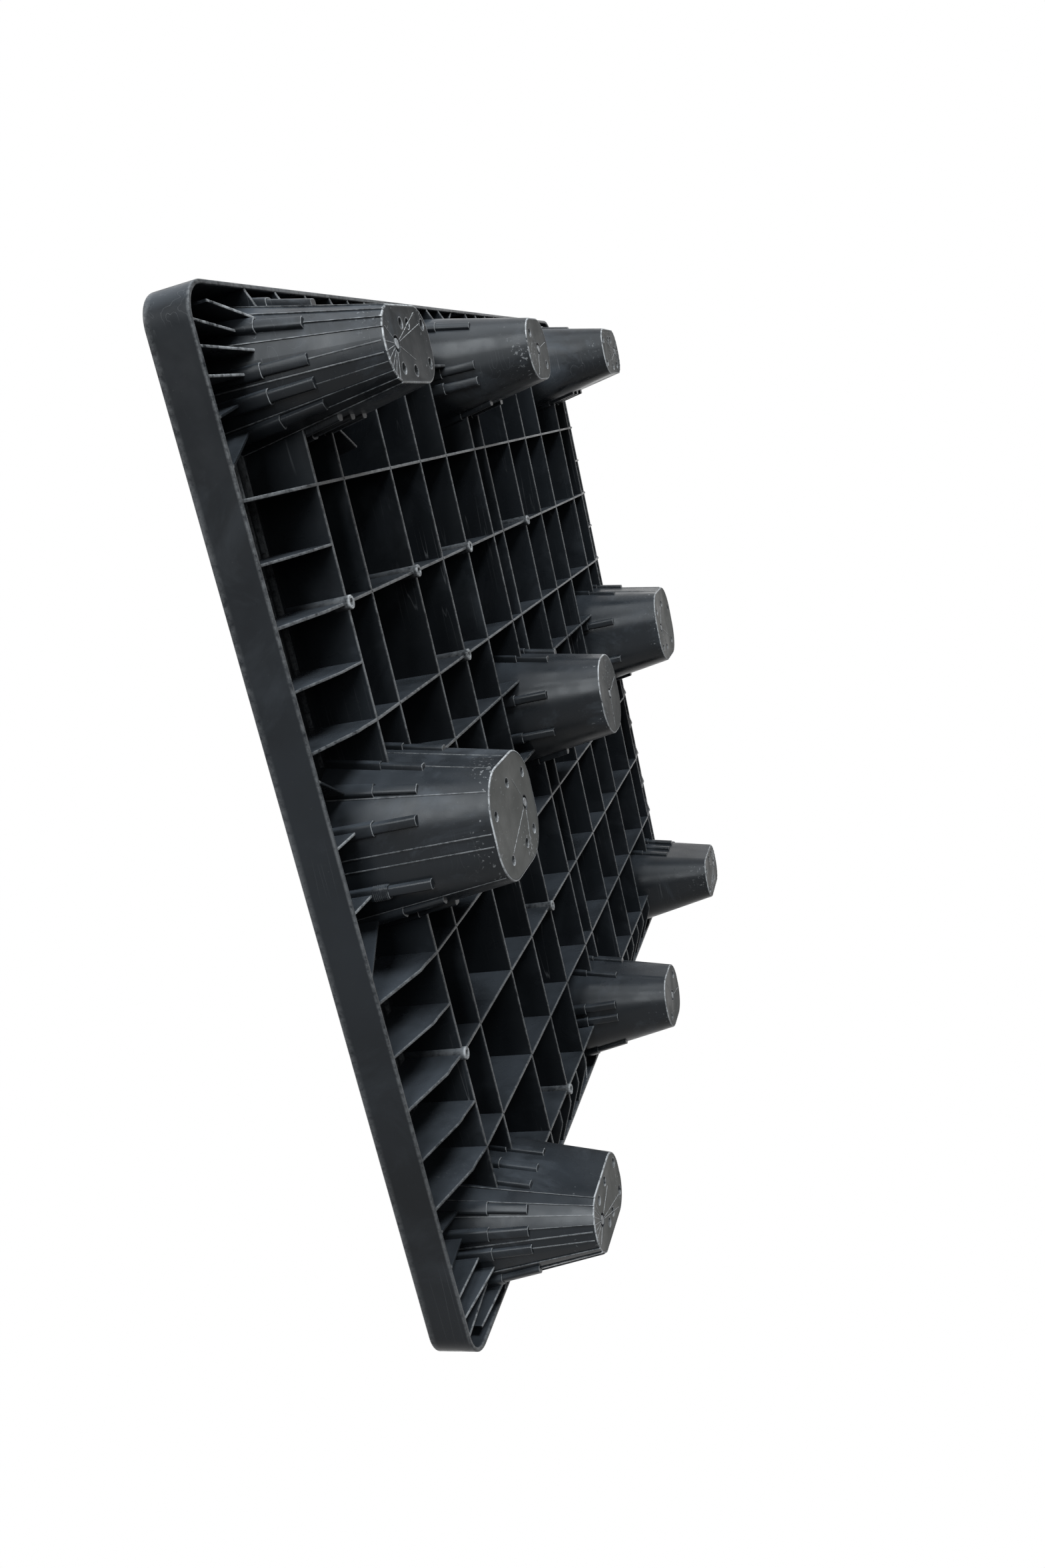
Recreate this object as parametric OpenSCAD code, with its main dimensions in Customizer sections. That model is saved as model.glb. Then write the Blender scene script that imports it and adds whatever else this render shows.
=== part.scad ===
// Nine-leg nestable pallet, moulded in one piece.
// It stands on its nine hollow feet with the deck up. The origin is on the floor under its middle,
// X runs along the long side, Y along the short side and Z points up.

/* [Deck] */
// Length of the deck, along X
deck_l = 1200; // [1100:10:1300]
// Width of the deck, along Y
deck_w = 1000; // [900:10:1100]
// Radius of the deck's corners, seen from above
corner_r = 32; // [20:1:45]
// Thickness of the closed deck
deck_t = 4; // [3:0.5:6]
// Height of the rim, from its lip to the top of the deck
rim_h = 43; // [36:1:50]
// Thickness of the rim
rim_t = 4; // [3:0.5:6]
// Bevel round the top edge of the deck
deck_bevel = 3; // [1:0.5:5]
// Bevel round the outside of the lip
lip_bevel = 1.5; // [0.5:0.5:2.5]

/* [Ribs] */
// Thickness of the ribs
rib_t = 3; // [2.5:0.5:4]
// How far the ribs of the middle hang below the lip
rib_drop = 20; // [12:1:26]
// Ribs across the deck: their distances from the middle, along X
rib_x = [22, 132.5, 222, 313, 434, 494];
// Ribs along the deck: their distances from the middle, along Y
rib_y = [45, 116, 224, 328.5, 427];
// Length over which the ribs come down from the lip at the two short sides
slope_x = 100; // [80:5:120]
// Length over which the ribs come down from the lip at the two long sides
slope_y = 50; // [40:5:70]

/* [Feet] */
// Height of the feet below the lip
foot_drop = 117; // [105:1:130]
// Thickness of the feet's walls and tips
foot_t = 4; // [3:0.5:6]
// Draft of the feet's walls, in degrees
draft = 10; // [8:0.5:11]
// Extra lean of the walls that face the long sides, in mm out for each mm up
outer_lean = 0.06; // [0:0.01:0.08]
// Bevel round the tips
tip_bevel = 2; // [1:0.5:3]
// Number of flat staves round each corner of a foot
staves = 5; // [4:1:6]
// Corner feet: length of the tip
corner_tip_l = 115; // [105:1:125]
// Corner feet: width of the tip
corner_tip_w = 66; // [58:1:74]
// Corner feet: radius of the tip's corners
corner_tip_r = 28; // [22:1:29]
// Corner feet: distance of the tip's middle from the end of the deck
corner_foot_x = 146; // [140:1:160]
// Feet of the two long sides: distance of the tip's middle from the side
row_inset = 77; // [75:1:90]
// Middle feet of the short sides: length of the tip
side_tip_l = 132; // [120:1:140]
// Middle feet of the short sides: width of the tip
side_tip_w = 108; // [98:1:118]
// Middle feet of the short sides: radius of the tip's corners
side_tip_r = 42; // [34:1:48]
// Middle feet of the short sides: distance of the tip's middle from the end of the deck
side_foot_x = 137; // [130:1:150]
// Middle feet of the long sides: length of the tip
long_tip_l = 92; // [84:1:104]
// Middle feet of the long sides: width of the tip
long_tip_w = 70; // [62:1:78]
// Middle feet of the long sides: radius of the tip's corners
long_tip_r = 31; // [24:1:31]
// Centre foot: length of the tip
centre_tip_l = 98; // [90:1:110]
// Centre foot: width of the tip
centre_tip_w = 98; // [90:1:110]
// Centre foot: radius of the tip's corners
centre_tip_r = 43; // [34:1:44]

/* [Pads and gussets] */
// Half width of the thick part of the pads, next to the deck
pad_r = 6.5; // [5:0.5:8]
// Half width of the thin part of the pads
thin_pad_r = 4.8; // [3:0.2:6]
// Depth below the lip at which the thick part ends
pad_step = 14; // [8:1:24]
// Depth below the lip at which the thin part ends
pad_end = 53; // [40:1:70]
// Thickness of the gussets between the rim and the feet
gusset_t = 2.5; // [2:0.5:4]
// Length of the short gusset at the inner corner of each corner foot
inner_gusset_l = 48; // [40:2:60]

/* [Small holes and marks] */
// Diameter of the drain holes in the tips
drain_d = 9; // [6:0.5:12]
// Diameter of the gate mark in each tip
gate_d = 9; // [6:0.5:10]
// Width of the hollow round the gate mark
gate_ring = 2.5; // [2:0.5:5]
// Depth of that hollow
gate_depth = 1.5; // [1:0.5:2]
// Outer diameter of the ejector bosses on the ribs
boss_d = 13; // [10:0.5:16]
// Diameter of the hole in an ejector boss
boss_bore = 6; // [4:0.5:8]
// How far an ejector boss stands out below the ribs
boss_out = 4; // [2:1:8]

/* [Hidden] */

half_l = deck_l / 2;
half_w = deck_w / 2;
lip_z = foot_drop;
top_z = foot_drop + rim_h;
under_z = top_z - deck_t;
rib_z = lip_z - rib_drop;
grow = tan(draft);
joint = 0.5;
pad_root = 1.5;
hole_sides = 7;
boss_sides = 8;
black = [0.07, 0.07, 0.075];

// Tip of each kind of foot: length, width, radius and lean of its +Y wall
corner_tip = [corner_tip_l, corner_tip_w, corner_tip_r, outer_lean];
side_tip = [side_tip_l, side_tip_w, side_tip_r, 0];
long_tip = [long_tip_l, long_tip_w, long_tip_r, outer_lean];
centre_tip = [centre_tip_l, centre_tip_w, centre_tip_r, 0];

// Middles of the feet in the quarter where X and Y are positive. Their +X and +Y walls face the rim
corner_at = [half_l - corner_foot_x, half_w - row_inset];
side_at = [half_l - side_foot_x, 0];
long_at = [0, half_w - row_inset];

// The four corner points of a rounded rectangle, from which its arcs are struck
function arc_centres(size) =
    [for (sx = [1, -1]) for (sy = [1, -1]) [sx * (size[0] / 2 - size[2]), sy * (size[1] / 2 - size[2])]];

// A block with rounded corners. Each ring is its height and how far the outline has grown there.
// Where the block leans, its +Y wall moves out with height.
module tapered_block(size, rings) {
    hull() for (c = arc_centres(size)) for (i = [0:len(rings) - 2])
        multmatrix([[1, 0, 0, c[0]], [0, 1, c[1] > 0 ? size[3] : 0, c[1]], [0, 0, 1, 0]])
            translate([0, 0, rings[i][0]])
                cylinder(h = rings[i + 1][0] - rings[i][0], r1 = size[2] + rings[i][1],
                    r2 = size[2] + rings[i + 1][1], $fn = 4 * staves);
}

module foot_body(tip) {
    high = under_z + joint;
    tapered_block(tip, [[0, -tip_bevel], [tip_bevel, grow * tip_bevel], [high, grow * high]]);
}

module foot_hollow(tip) {
    high = top_z + 1;
    tapered_block(tip, [[foot_t, grow * foot_t - foot_t], [high, grow * high - foot_t]]);
}

// Places on a foot's wall: x and y at the tip, direction in degrees, lean of the wall there
function on_end(tip, side, y) = [side * tip[0] / 2, y, side > 0 ? 0 : 180, 0];
function on_flank(tip, side, x) = [x, side * tip[1] / 2, side * 90, side > 0 ? tip[3] : 0];
function on_corner(tip, sx, sy, a) =
    [sx * (tip[0] / 2 - tip[2] + tip[2] * cos(a)), sy * (tip[1] / 2 - tip[2] + tip[2] * sin(a)),
     atan2(sy * sin(a), sx * cos(a)), sy > 0 ? tip[3] : 0];

// The same place on the wall, at height z
function up_wall(place, z) =
    [place[0] + grow * z * cos(place[2]), place[1] + (grow * sin(place[2]) + place[3]) * z];

// Half-round bar that follows the wall from height z0 to z1
module pad_bar(place, r, z0, z1) {
    out = [grow * cos(place[2]), grow * sin(place[2]) + place[3]];
    multmatrix([[1, 0, out[0], place[0]], [0, 1, out[1], place[1]], [0, 0, 1, 0]])
        translate([0, 0, z0]) linear_extrude(z1 - z0) rotate(place[2])
            polygon([[-pad_root, -r], [0.8 * r, -0.6 * r], [0.8 * r, 0.6 * r], [-pad_root, r]]);
}

// A pad is thick next to the deck and thin below it
module pad(place) {
    pad_bar(place, thin_pad_r, lip_z - pad_end, lip_z - pad_step + joint);
    pad_bar(place, pad_r, lip_z - pad_step, under_z + joint);
}

// Each gusset on a foot: its place on the wall, how far its rim end lies to the side, how far its lower
// edge lies from the lip at the foot, how far short of the rim it stops, and 1 where a pad carries it
corner_gussets = [
    [on_corner(corner_tip, 1, 1, 50), 12, -12, 24, 0],
    [on_corner(corner_tip, 1, 1, 36), 11, 1, 10, 1],
    [on_corner(corner_tip, 1, 1, 12), 4, -11, 0, 0],
    [on_end(corner_tip, 1, 3), 0, -1, 0, 1],
    [on_corner(corner_tip, 1, -1, 16), -11, 13, 0, 1],
    [on_corner(corner_tip, 1, -1, 46), -30, 16, 0, 1]];
side_gussets = [for (s = [1, -1]) each
    [[on_corner(side_tip, 1, s, 50), s * 34, 12, 0, 1], [on_end(side_tip, 1, s * 30), 0, 1, 0, 1]]];
long_gussets = [for (s = [1, -1]) [on_corner(long_tip, s, 1, 50), s * 30, 5, 0, 1]];
inner_gusset = on_corner(corner_tip, -1, -1, 80);
inner_gusset_turn = 207;

// Where each kind of foot carries its pads
function padded(gussets) = [for (g = gussets) if (g[4] == 1) g[0]];
corner_pads = concat(padded(corner_gussets),
    [for (x = [33, 5, -23]) on_flank(corner_tip, -1, x)], [on_flank(corner_tip, 1, 30)]);
side_pads = concat(padded(side_gussets), [for (s = [1, -1]) for (x = [32, -27]) on_flank(side_tip, s, x)],
    [for (y = [30, -30]) on_end(side_tip, -1, y)]);
long_pads = concat(padded(long_gussets),
    [for (s = [1, -1]) for (y = [-3, -21]) on_end(long_tip, s, y)],
    [for (x = [22, -22]) on_flank(long_tip, -1, x)]);
centre_pads = [for (s = [1, -1]) each [on_flank(centre_tip, s, 20), on_flank(centre_tip, s, -20),
    on_end(centre_tip, s, 24), on_end(centre_tip, s, -24)]];

module mirrored_quarters() {
    for (mx = [0, 1]) for (my = [0, 1]) mirror([mx, 0, 0]) mirror([0, my, 0]) children();
}
module mirrored_ends() { for (m = [0, 1]) mirror([m, 0, 0]) children(); }
module mirrored_sides() { for (m = [0, 1]) mirror([0, m, 0]) children(); }

module foot_with_pads(tip, pads) {
    foot_body(tip);
    for (p = pads) pad(p);
}

module foot_bodies() {
    mirrored_quarters() translate(corner_at) foot_with_pads(corner_tip, corner_pads);
    mirrored_ends() translate(side_at) foot_with_pads(side_tip, side_pads);
    mirrored_sides() translate(long_at) foot_with_pads(long_tip, long_pads);
    foot_with_pads(centre_tip, centre_pads);
}

module foot_hollows() {
    mirrored_quarters() translate(corner_at) foot_hollow(corner_tip);
    mirrored_ends() translate(side_at) foot_hollow(side_tip);
    mirrored_sides() translate(long_at) foot_hollow(long_tip);
    foot_hollow(centre_tip);
}

// Drain holes of the tips, and the place of the gate mark, seen from the middle of each tip
corner_drains = [[10, 17], [-7, 17], [-44, 17], [26, -20], [-3, -22], [-44, -16]];
corner_gate = [30, 0];
side_drains = [[51, -16], [3, -32], [-47, -27], [33, 33], [-16, 34], [-45, 30]];
side_gate = [-36, 0];
long_drains = [[26, -18], [-26, 18]];
round_gate = [0, 0];

module tip_holes(places, gate) {
    for (p = places) translate([p[0], p[1], -1]) cylinder(d = drain_d, h = foot_t + 2, $fn = hole_sides);
    translate([gate[0], gate[1], -1]) difference() {
        cylinder(d = gate_d + 2 * gate_ring, h = gate_depth + 1, $fn = boss_sides);
        cylinder(d = gate_d, h = gate_depth + 1, $fn = boss_sides);
    }
}

module tip_cuts() {
    mirrored_quarters() translate(corner_at) tip_holes(corner_drains, corner_gate);
    mirrored_ends() translate(side_at) tip_holes(side_drains, side_gate);
    mirrored_sides() translate(long_at) tip_holes(long_drains, round_gate);
    tip_holes([], round_gate);
}

// Closed deck with its rim round it
deck_plan = [deck_l, deck_w, corner_r, 0];

module deck_shell() {
    difference() {
        tapered_block(deck_plan, [[lip_z, -lip_bevel], [lip_z + lip_bevel, 0], [top_z - deck_bevel, 0],
            [top_z, -deck_bevel]]);
        tapered_block(deck_plan, [[lip_z - 1, -rim_t], [under_z, -rim_t]]);
    }
}

// A wall seen from above, from point a to point b
module strip(a, b, t) {
    translate(a) rotate(atan2(b[1] - a[1], b[0] - a[0])) translate([0, -t / 2]) square([norm(b - a), t]);
}

// A rib along X ends at the foot that stands before the short side, if there is one
function rib_reach(y) =
    y < side_tip_w / 2 ? side_at[0] : abs(y - corner_at[1]) < corner_tip_w / 2 ? corner_at[0] : half_l;

module full_ribs() {
    for (s = [-1, 1]) {
        for (x = rib_x) strip([s * x, -half_w], [s * x, half_w], rib_t);
        for (y = rib_y) strip([-rib_reach(y), s * y], [rib_reach(y), s * y], rib_t);
    }
}

// Short ribs halfway between the others, in the fields next to the rim
module short_ribs() {
    last_x = rib_x[len(rib_x) - 1];
    last_y = rib_y[len(rib_y) - 1];
    mirrored_quarters() {
        for (i = [1, 2]) let (y = (rib_y[i] + rib_y[i + 1]) / 2) strip([last_x, y], [half_l, y], gusset_t);
        for (i = [1:3]) let (x = (rib_x[i] + rib_x[i + 1]) / 2) strip([x, last_y], [x, half_w], gusset_t);
    }
}

// An upright gusset from point a, where its lower edge is at height z0, to point b. The edge ends at
// height z1, and over the last stretch, slope, it rises to the deck.
module gusset(a, b, z0, z1, slope) {
    run = norm(b - a);
    translate(a) rotate([90, 0, atan2(b[1] - a[1], b[0] - a[0])]) linear_extrude(gusset_t, center = true)
        polygon([[0, under_z + joint], [0, z0], [run - slope, z1], [run, under_z + joint]]);
}

// Gussets start inside a foot's wall, which the hollow later cuts away, and end in the rim
module end_gussets(at, table) {
    for (g = table) let (q = at + up_wall(g[0], lip_z))
        gusset(q - [foot_t, 0], [half_l - rim_t / 2 - g[3], q[1] + g[1]], lip_z + g[2], lip_z + 1, g[3] / 2);
}

module gussets() {
    mirrored_quarters() {
        end_gussets(corner_at, corner_gussets);
        let (q = corner_at + up_wall(inner_gusset, lip_z), a = inner_gusset_turn)
            gusset(q, q + inner_gusset_l * [cos(a), sin(a)], rib_z + 1, rib_z + 1, inner_gusset_l / 5);
    }
    mirrored_ends() end_gussets(side_at, side_gussets);
    mirrored_sides() for (g = long_gussets) let (q = long_at + up_wall(g[0], lip_z))
        gusset(q - [0, foot_t], [q[0] + g[1], half_w - rim_t / 2], lip_z + g[2], lip_z + 1, g[3] / 2);
}

// Room that the ribs fill: from the deck down to the lip at the rim, and deeper in the middle.
// At the short sides the rib edges have a short level stretch before they reach their full depth.
module rib_room() {
    run_x = half_l - rim_t;
    run_y = half_w - rim_t;
    edge_z = lip_z + 1;
    knee_z = lip_z - 0.85 * rib_drop;
    half_x = [[half_l, under_z + joint], [half_l, edge_z], [run_x, edge_z], [run_x - 0.64 * slope_x, knee_z],
        [run_x - 0.74 * slope_x, knee_z], [run_x - slope_x, rib_z]];
    half_y = [[half_w, under_z + joint], [half_w, edge_z], [run_y, edge_z], [run_y - slope_y, rib_z]];
    intersection() {
        rotate([90, 0, 0]) linear_extrude(deck_w, center = true) polygon(both_halves(half_x));
        rotate([90, 0, 90]) linear_extrude(deck_l, center = true) polygon(both_halves(half_y));
    }
}
function both_halves(half) =
    concat(half, [for (i = [len(half) - 1:-1:0]) [-half[i][0], half[i][1]]]);

module ribs() {
    intersection() {
        translate([0, 0, rib_z]) linear_extrude(under_z + joint - rib_z) intersection() {
            union() {
                full_ribs();
                short_ribs();
            }
            hull() for (c = arc_centres(deck_plan))
                translate(c) circle(r = corner_r - rim_t / 2, $fn = 4 * staves);
        }
        rib_room();
    }
    gussets();
}

// Ejector bosses on rib crossings: the number of the rib along X and along Y, with its side
boss_places = [[-6, -3], [-4, -3], [-3, -2], [-2, -3], [2, -3], [-6, 3], [-2, 3], [-3, 5]];

module bosses() {
    for (b = boss_places)
        translate([sign(b[0]) * rib_x[abs(b[0]) - 1], sign(b[1]) * rib_y[abs(b[1]) - 1], rib_z - boss_out])
            difference() {
                cylinder(d = boss_d, h = under_z + joint - rib_z + boss_out, $fn = boss_sides);
                translate([0, 0, -1]) cylinder(d = boss_bore, h = 2 * boss_out + 1, $fn = hole_sides);
            }
}

module pallet() {
    color(black) difference() {
        union() {
            deck_shell();
            ribs();
            bosses();
            foot_bodies();
        }
        foot_hollows();
        tip_cuts();
    }
}

pallet();
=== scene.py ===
import math

import bmesh
import bpy
import numpy as np
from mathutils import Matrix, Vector
from mathutils.geometry import delaunay_2d_cdt


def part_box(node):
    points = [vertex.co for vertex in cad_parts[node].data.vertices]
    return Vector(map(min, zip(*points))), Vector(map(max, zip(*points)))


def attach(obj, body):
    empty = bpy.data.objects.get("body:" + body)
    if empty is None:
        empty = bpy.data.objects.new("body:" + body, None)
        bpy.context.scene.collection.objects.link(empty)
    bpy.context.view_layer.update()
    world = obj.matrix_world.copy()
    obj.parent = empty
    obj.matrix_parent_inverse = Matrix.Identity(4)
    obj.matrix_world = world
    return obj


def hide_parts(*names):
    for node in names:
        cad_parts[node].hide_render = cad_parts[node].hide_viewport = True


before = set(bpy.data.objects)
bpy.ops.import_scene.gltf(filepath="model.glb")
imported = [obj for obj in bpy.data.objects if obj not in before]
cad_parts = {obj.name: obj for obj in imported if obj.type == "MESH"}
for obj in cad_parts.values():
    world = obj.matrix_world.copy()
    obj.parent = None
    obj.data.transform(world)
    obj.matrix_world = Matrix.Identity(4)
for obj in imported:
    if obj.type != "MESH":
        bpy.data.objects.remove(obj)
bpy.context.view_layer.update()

# Camera. The photograph looks at the underside from below the left short side, with the front long
# side at the top of the picture. Its place, turn and lens come from the straight edges of the deck.
PHOTO_SIZE = (1568, 2352)
PHOTO_FOCAL = 1876.6
PHOTO_AXIS = (728.8, 1170.4)
CAMERA_PLACE = (-1.5145, -0.3221, -0.3627)
CAMERA_TURN = (-157.931, 69.011, 38.670)
SENSOR_MM = 36.0
NEAREST_SEEN = 0.01

lens = bpy.data.cameras.new("photo_lens")
lens.sensor_width = SENSOR_MM
lens.lens = SENSOR_MM * PHOTO_FOCAL / PHOTO_SIZE[1]
lens.shift_x = (PHOTO_SIZE[0] / 2 - PHOTO_AXIS[0]) / PHOTO_SIZE[1]
lens.shift_y = (PHOTO_AXIS[1] - PHOTO_SIZE[1] / 2) / PHOTO_SIZE[1]
lens.clip_start = NEAREST_SEEN
camera = bpy.data.objects.new("photo_camera", lens)
camera.location = CAMERA_PLACE
camera.rotation_euler = [math.radians(a) for a in CAMERA_TURN]
bpy.context.scene.collection.objects.link(camera)
bpy.context.scene.camera = camera
bpy.context.scene.view_settings.view_transform = "Standard"


# Studio. A white surround, lamps beneath and beside the pallet and suns above it, all lengths in metres.
# The floor is pale from above, and from beneath it is clear, because the photograph looks up at the feet.
AMBIENT = 0.05
FLOOR_SIZE = 30.0
# The floor fades out between these distances from its middle
FLOOR_FADE = (1.8, 5.5)
FLOOR_DROP = 0.0004
FLOOR_PALE = (0.80, 0.80, 0.79, 1.0)
LAMP_AIM = (0.0, 0.0, 0.08)
LAMP_TINT = (0.90, 0.96, 1.0)
LAMPS = {
    "under_key": {"place": (-0.9, -2.9, -1.7), "size": (0.9, 0.9), "watts": 145.0},
    "window": {"place": (-2.68, -1.94, -0.05), "size": (2.5, 0.9), "watts": 108.0},
    "side_window": {"place": (-0.46, -3.27, -0.05), "size": (2.4, 0.9), "watts": 34.0},
    "under_near": {"place": (-2.2, -1.1, -1.5), "size": (1.2, 1.2), "watts": 10.0},
    "under_far": {"place": (1.6, 1.2, -2.8), "size": (1.6, 1.6), "watts": 6.0},
}
SUNS = {
    "over_key": {"from": (-1.0, -1.2, 1.9), "spread": 25.0, "strength": 1.7},
    "over_back": {"from": (1.4, 1.0, 1.5), "spread": 50.0, "strength": 0.9},
}


def seen_by_eye(tree):
    """One for a ray from the camera, from a gloss or through glass, and nothing for any other."""
    path = tree.nodes.new("ShaderNodeLightPath")
    first = tree.nodes.new("ShaderNodeMath")
    first.operation = "MAXIMUM"
    tree.links.new(path.outputs["Is Camera Ray"], first.inputs[0])
    tree.links.new(path.outputs["Is Glossy Ray"], first.inputs[1])
    both = tree.nodes.new("ShaderNodeMath")
    both.operation = "MAXIMUM"
    tree.links.new(first.outputs[0], both.inputs[0])
    tree.links.new(path.outputs["Is Transmission Ray"], both.inputs[1])
    return both.outputs[0]


def white_surround():
    """White to the eye, and only a weak even light to everything else."""
    world = bpy.data.worlds.new("white_surround")
    world.use_nodes = True
    tree = world.node_tree
    tree.nodes.clear()
    soft = tree.nodes.new("ShaderNodeBackground")
    soft.inputs["Strength"].default_value = AMBIENT
    white = tree.nodes.new("ShaderNodeBackground")
    white.inputs["Color"].default_value = (1.0, 1.0, 1.0, 1.0)
    white.inputs["Strength"].default_value = 1.0
    mix = tree.nodes.new("ShaderNodeMixShader")
    out = tree.nodes.new("ShaderNodeOutputWorld")
    tree.links.new(seen_by_eye(tree), mix.inputs["Fac"])
    tree.links.new(soft.outputs[0], mix.inputs[1])
    tree.links.new(white.outputs[0], mix.inputs[2])
    tree.links.new(mix.outputs[0], out.inputs["Surface"])
    return world


bpy.context.scene.world = white_surround()

for lamp_name, lamp in LAMPS.items():
    light = bpy.data.lights.new(lamp_name, "AREA")
    light.shape = "RECTANGLE"
    light.size, light.size_y = lamp["size"]
    light.energy = lamp["watts"]
    light.color = LAMP_TINT
    holder = bpy.data.objects.new(lamp_name, light)
    holder.location = lamp["place"]
    aim = Vector(LAMP_AIM) - Vector(lamp["place"])
    holder.rotation_euler = aim.to_track_quat("-Z", "Y").to_euler()
    holder.visible_camera = False
    bpy.context.scene.collection.objects.link(holder)

for sun_name, sun in SUNS.items():
    light = bpy.data.lights.new(sun_name, "SUN")
    light.angle = math.radians(sun["spread"])
    light.energy = sun["strength"]
    holder = bpy.data.objects.new(sun_name, light)
    holder.rotation_euler = Vector(sun["from"]).to_track_quat("Z", "Y").to_euler()
    bpy.context.scene.collection.objects.link(holder)


def pale_floor():
    """Matt and pale from above, clear from beneath and clear far out."""
    material = bpy.data.materials.new("pale_floor")
    material.use_nodes = True
    tree = material.node_tree
    tree.nodes.clear()
    pale = tree.nodes.new("ShaderNodeBsdfDiffuse")
    pale.inputs["Color"].default_value = FLOOR_PALE
    clear = tree.nodes.new("ShaderNodeBsdfTransparent")
    away = tree.nodes.new("ShaderNodeVectorMath")
    away.operation = "LENGTH"
    tree.links.new(tree.nodes.new("ShaderNodeTexCoord").outputs["Object"], away.inputs[0])
    fade = tree.nodes.new("ShaderNodeMapRange")
    fade.interpolation_type = "SMOOTHSTEP"
    fade.inputs["From Min"].default_value, fade.inputs["From Max"].default_value = FLOOR_FADE
    tree.links.new(away.outputs["Value"], fade.inputs["Value"])
    unseen = tree.nodes.new("ShaderNodeMath")
    unseen.operation = "MAXIMUM"
    tree.links.new(tree.nodes.new("ShaderNodeNewGeometry").outputs["Backfacing"], unseen.inputs[0])
    tree.links.new(fade.outputs[0], unseen.inputs[1])
    either = tree.nodes.new("ShaderNodeMixShader")
    out = tree.nodes.new("ShaderNodeOutputMaterial")
    tree.links.new(unseen.outputs[0], either.inputs["Fac"])
    tree.links.new(pale.outputs[0], either.inputs[1])
    tree.links.new(clear.outputs[0], either.inputs[2])
    tree.links.new(either.outputs[0], out.inputs["Surface"])
    return material


floor_mesh = bpy.data.meshes.new("floor")
edge = FLOOR_SIZE / 2
floor_mesh.from_pydata([(-edge, -edge, -FLOOR_DROP), (edge, -edge, -FLOOR_DROP),
                        (edge, edge, -FLOOR_DROP), (-edge, edge, -FLOOR_DROP)], [], [(0, 1, 2, 3)])
floor_mesh.materials.append(pale_floor())
floor = bpy.data.objects.new("floor", floor_mesh)
floor.visible_shadow = False
floor.visible_diffuse = False
floor.visible_glossy = False
floor.visible_transmission = False
bpy.context.scene.collection.objects.link(floor)


# Shell. Deck, rim and the nine hollow feet are one skin of black polyethylene, shot in one mould, so
# the skin is drawn as one closed surface. All lengths from here on are in millimetres.
MM = 0.001
HALF_L, HALF_W, TOP = np.array(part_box("pallet")[1]) / MM
RIM_H = 43.0
LIP = TOP - RIM_H
SKIN = 4.0
UNDER = TOP - SKIN
DECK_R = 32.0
TOP_ROUND = 3.0
LIP_ROUND = 1.2
MOUTH_ROUND = 2.0
TIP_ROUND = 1.0
TIP_DISH = 0.25
# The feet's draft, and the lean of their outer walls, for each millimetre of height
GROW = math.tan(math.radians(10.0))
LEAN = 0.06
# How far from a rounded edge the face beside it has its next ring of points, which holds the edge's
# shading and its wear to the edge
TIP_EASE = 0.3
TIP_BAND = 1.4
TOP_BAND = 1.5
INNER_BAND = 3.5
LIP_BAND = 3.0
RIM_BAND = 8.0
MOUTH_BAND = 6.0
# Heights of the last rings of a foot's wall above its tip
TIP_WALL = (9.0, 3.0)
# Wear on each rounded edge, and on the deck close to its edge
LIP_WEAR_INSIDE = 0.25
LIP_WEAR_OUTSIDE = 0.20
TOP_WEAR = 0.15
DECK_WEAR = 0.10
MOUTH_WEAR = 0.6
ARC_STEPS = 18
ROUND_STEPS = 4
TOP_STEPS = 6
# The outer corners of a staved foot: how many staves to a quarter turn, how far each runs out low, and
# the share of its width over which it steps up to the next, with the wear of its high edge
STAVES = 5
STAVE_STEP = 1.2
STAVE_EDGE = 0.08
STAVE_WEAR = 0.5
# Tip length, tip width, tip radius, lean of the outer wall, and whether the outer end has staves
CORNER = (115.0, 66.0, 28.0, LEAN, True)
SIDE = (132.0, 108.0, 42.0, 0.0, False)
LONG = (92.0, 70.0, 31.0, LEAN, False)
CENTRE = (98.0, 98.0, 43.0, 0.0, False)
# How far in from the rim the feet's middles stand: corner and side feet along X, the outer rows along Y
CORNER_IN = 146.0
SIDE_IN = 137.0
ROW_IN = 77.0
CORNER_AT = (HALF_L - CORNER_IN, HALF_W - ROW_IN)
SIDE_AT = (HALF_L - SIDE_IN, 0.0)
LONG_AT = (0.0, HALF_W - ROW_IN)
# Each foot: its kind, its middle, and the signs that turn its outer walls to the rim
FEET = [(CORNER, (sx * CORNER_AT[0], sy * CORNER_AT[1]), (sx, sy)) for sx in (-1, 1) for sy in (-1, 1)]
FEET += [(SIDE, (s * SIDE_AT[0], 0.0), (s, 1)) for s in (-1, 1)]
FEET += [(LONG, (0.0, s * LONG_AT[1]), (1, s)) for s in (-1, 1)]
FEET += [(CENTRE, (0.0, 0.0), (1, 1))]
# How far each foot's tip is scoured pale, in the same order
SCOUR = (0.30, 0.90, 0.55, 0.70, 0.85, 0.80, 0.50, 0.60, 0.45)
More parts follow.
